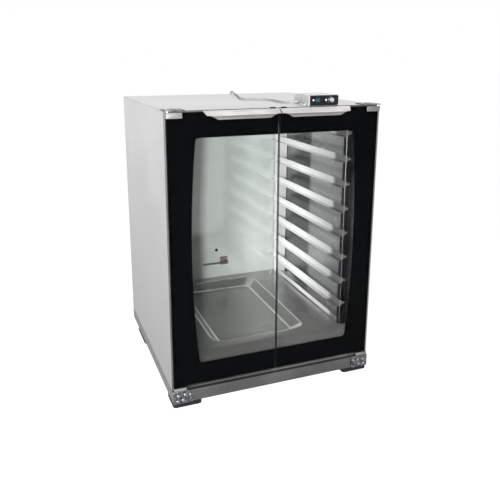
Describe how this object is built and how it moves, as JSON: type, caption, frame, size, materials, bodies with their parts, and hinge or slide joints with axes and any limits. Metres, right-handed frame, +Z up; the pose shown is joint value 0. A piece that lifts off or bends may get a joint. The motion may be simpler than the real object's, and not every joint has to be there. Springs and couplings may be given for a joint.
{
  "type": "proofing cabinet",
  "caption": "Small stainless proofing cabinet with frameless glass double doors, tray runners, a water basin in the floor and a control pod on top.",
  "frame": {"origin": "centre of the cabinet's outline on the floor, measured from the handle lips to the rear cable gland", "axes": "+Z up, the doors face -Y, +X to the right of someone who faces the doors"},
  "size_m": [0.57, 0.6015, 0.7828],
  "materials": {
    "base_chassis": "brushed stainless steel",
    "basin_heater": "sheathed rod",
    "bottom_hinge_bracket_left": "satin steel",
    "bottom_hinge_bracket_right": "satin steel",
    "control_cable": "grey sheath",
    "control_fascia": "black",
    "control_gland": "matt black",
    "control_housing": "brushed stainless steel",
    "door_border_left": "black print on glass",
    "door_border_right": "black print on glass",
    "door_catch": "black",
    "door_glass_left": "clear tempered glass",
    "door_glass_right": "clear tempered glass",
    "door_handle_left": "satin stainless steel",
    "door_handle_right": "satin stainless steel",
    "door_seal": "matt black",
    "foot_front_left": "matt black",
    "foot_front_right": "matt black",
    "foot_rear_left": "matt black",
    "foot_rear_right": "matt black",
    "heat_lamp": "clear lens",
    "insulation": "mineral wool",
    "liner_ceiling": "bright stainless steel",
    "liner_floor": "bright stainless steel",
    "liner_rear": "bright stainless steel",
    "liner_side_left": "bright stainless steel",
    "liner_side_right": "bright stainless steel",
    "lower_clamp_left": "satin stainless steel",
    "lower_clamp_right": "satin stainless steel",
    "power_lamp": "clear lens",
    "power_switch": "lit green",
    "rack_frame_left": "bright stainless steel",
    "rack_frame_right": "bright stainless steel",
    "rear_gland": "black",
    "rear_panel": "galvanised sheet",
    "runner_left_1": "bright stainless steel",
    "runner_left_2": "bright stainless steel",
    "runner_left_3": "bright stainless steel",
    "runner_left_4": "bright stainless steel",
    "runner_left_5": "bright stainless steel",
    "runner_left_6": "bright stainless steel",
    "runner_left_7": "bright stainless steel",
    "runner_left_8": "bright stainless steel",
    "runner_right_1": "bright stainless steel",
    "runner_right_2": "bright stainless steel",
    "runner_right_3": "bright stainless steel",
    "runner_right_4": "bright stainless steel",
    "runner_right_5": "bright stainless steel",
    "runner_right_6": "bright stainless steel",
    "runner_right_7": "bright stainless steel",
    "runner_right_8": "bright stainless steel",
    "side_panel_left": "brushed stainless steel",
    "side_panel_right": "brushed stainless steel",
    "temperature_probe": "sheathed rod",
    "thermostat_knob": "satin",
    "top_hinge_bracket_left": "satin steel",
    "top_hinge_bracket_right": "satin steel",
    "top_panel": "brushed stainless steel",
    "upper_clamp_left": "satin stainless steel",
    "upper_clamp_right": "satin stainless steel"
  },
  "bodies": {
    "cabinet": {"base_chassis": "base_chassis", "basin_heater": "basin_heater", "bottom_hinge_bracket_left": "bottom_hinge_bracket_left", "bottom_hinge_bracket_right": "bottom_hinge_bracket_right", "control_cable": "control_cable", "control_fascia": "control_fascia", "control_gland": "control_gland", "control_housing": "control_housing", "door_catch": "door_catch", "door_seal": "door_seal", "foot_front_left": "foot_front_left", "foot_front_right": "foot_front_right", "foot_rear_left": "foot_rear_left", "foot_rear_right": "foot_rear_right", "heat_lamp": "heat_lamp", "insulation": "insulation", "liner_ceiling": "liner_ceiling", "liner_floor": "liner_floor", "liner_rear": "liner_rear", "liner_side_left": "liner_side_left", "liner_side_right": "liner_side_right", "power_lamp": "power_lamp", "rack_frame_left": "rack_frame_left", "rack_frame_right": "rack_frame_right", "rear_gland": "rear_gland", "rear_panel": "rear_panel", "runner_left_1": "runner_left_1", "runner_left_2": "runner_left_2", "runner_left_3": "runner_left_3", "runner_left_4": "runner_left_4", "runner_left_5": "runner_left_5", "runner_left_6": "runner_left_6", "runner_left_7": "runner_left_7", "runner_left_8": "runner_left_8", "runner_right_1": "runner_right_1", "runner_right_2": "runner_right_2", "runner_right_3": "runner_right_3", "runner_right_4": "runner_right_4", "runner_right_5": "runner_right_5", "runner_right_6": "runner_right_6", "runner_right_7": "runner_right_7", "runner_right_8": "runner_right_8", "side_panel_left": "side_panel_left", "side_panel_right": "side_panel_right", "temperature_probe": "temperature_probe", "top_hinge_bracket_left": "top_hinge_bracket_left", "top_hinge_bracket_right": "top_hinge_bracket_right", "top_panel": "top_panel"},
    "left_door": {"door_glass_left": "door_glass_left", "door_border_left": "door_border_left", "door_handle_left": "door_handle_left", "upper_clamp_left": "upper_clamp_left", "lower_clamp_left": "lower_clamp_left"},
    "right_door": {"door_glass_right": "door_glass_right", "door_border_right": "door_border_right", "door_handle_right": "door_handle_right", "upper_clamp_right": "upper_clamp_right", "lower_clamp_right": "lower_clamp_right"},
    "thermostat_knob": {"thermostat_knob": "thermostat_knob"},
    "power_switch": {"power_switch": "power_switch"}
  },
  "joints": [
    {"name": "left_door_hinge", "type": "hinge", "parent": "cabinet", "child": "left_door", "pos_m": [-0.278, -0.275, 0.0555], "axis": [0, 0, -1], "range_deg": [0, 120]},
    {"name": "right_door_hinge", "type": "hinge", "parent": "cabinet", "child": "right_door", "pos_m": [0.278, -0.275, 0.0555], "axis": [0, 0, 1], "range_deg": [0, 120]},
    {"name": "thermostat_turn", "type": "hinge", "parent": "cabinet", "child": "thermostat_knob", "pos_m": [0.1575, -0.2415, 0.77], "axis": [0, 1, 0], "range_deg": [0, 270]},
    {"name": "power_switch_rock", "type": "hinge", "parent": "cabinet", "child": "power_switch", "pos_m": [0.1215, -0.2412, 0.77], "axis": [0, 0, 1], "range_deg": [0, 16]}
  ]
}
